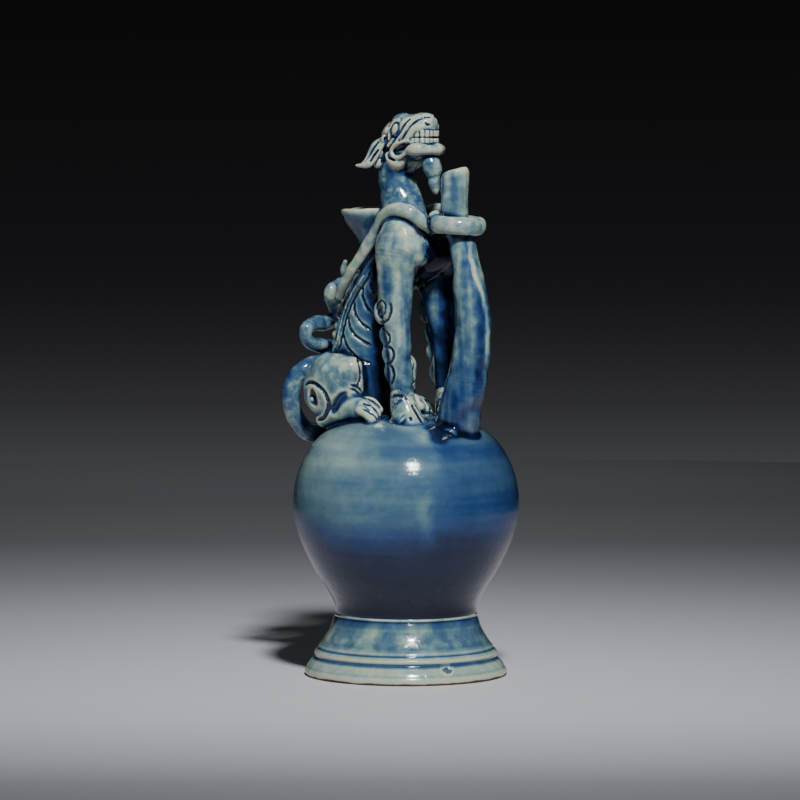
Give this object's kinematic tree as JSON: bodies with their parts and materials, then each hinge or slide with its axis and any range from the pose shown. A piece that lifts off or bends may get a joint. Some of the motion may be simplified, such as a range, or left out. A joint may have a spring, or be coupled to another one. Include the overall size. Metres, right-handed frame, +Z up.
{
  "type": "qilin ewer",
  "caption": "Glazed ceramic ewer: a thrown jar on a flared foot with a seated qilin on top, filled by a funnel on its back and poured from a curved spout.",
  "frame": {"origin": "centre of the foot's resting ring, on the surface the ewer stands on", "axes": "+Z up, +X where the beast looks and the spout stands, +Y to the beast's left"},
  "size_m": [0.1079, 0.1054, 0.262],
  "materials": {
    "foot_glaze": "cobalt blue glaze thinning to pale grey-green on the turned ridges, bare clay at the bottom edge",
    "jar_glaze": "glossy cobalt blue glaze with soft horizontal bands, greener on the shoulder and darker below",
    "beast_glaze": "glossy blue glaze, dark where it pools in the modelling and pale grey-green on the high places",
    "spout_glaze": "glossy mottled blue glaze with pale runs and a pale lip",
    "head_glaze": "glossy pale blue-grey glaze with cobalt in the grooves",
    "teeth_glaze": "thin pale glaze over nearly bare clay"
  },
  "bodies": {
    "root": {"foot": "foot_glaze", "jar": "jar_glaze", "torso": "beast_glaze", "haunch_right": "beast_glaze", "hind_paw_right": "beast_glaze", "foreleg_right": "beast_glaze", "fore_paw_right": "beast_glaze", "leg_tufts_right": "beast_glaze", "haunch_left": "beast_glaze", "hind_paw_left": "beast_glaze", "foreleg_left": "beast_glaze", "fore_paw_left": "beast_glaze", "leg_tufts_left": "beast_glaze", "spout": "spout_glaze", "spout_tip": "spout_glaze", "spout_collar": "spout_glaze", "neck": "beast_glaze", "head": "head_glaze", "lower_jaw": "head_glaze", "forehead_knob": "head_glaze", "upper_teeth": "teeth_glaze", "lower_teeth": "teeth_glaze", "beard": "head_glaze", "eye_right": "teeth_glaze", "ear_right": "head_glaze", "mane_curls_right": "head_glaze", "eye_left": "teeth_glaze", "ear_left": "head_glaze", "mane_curls_left": "head_glaze", "funnel": "beast_glaze", "shoulder_strap_right": "beast_glaze", "shoulder_strap_left": "beast_glaze", "back_crest": "beast_glaze", "tail": "beast_glaze"}
  },
  "joints": []
}
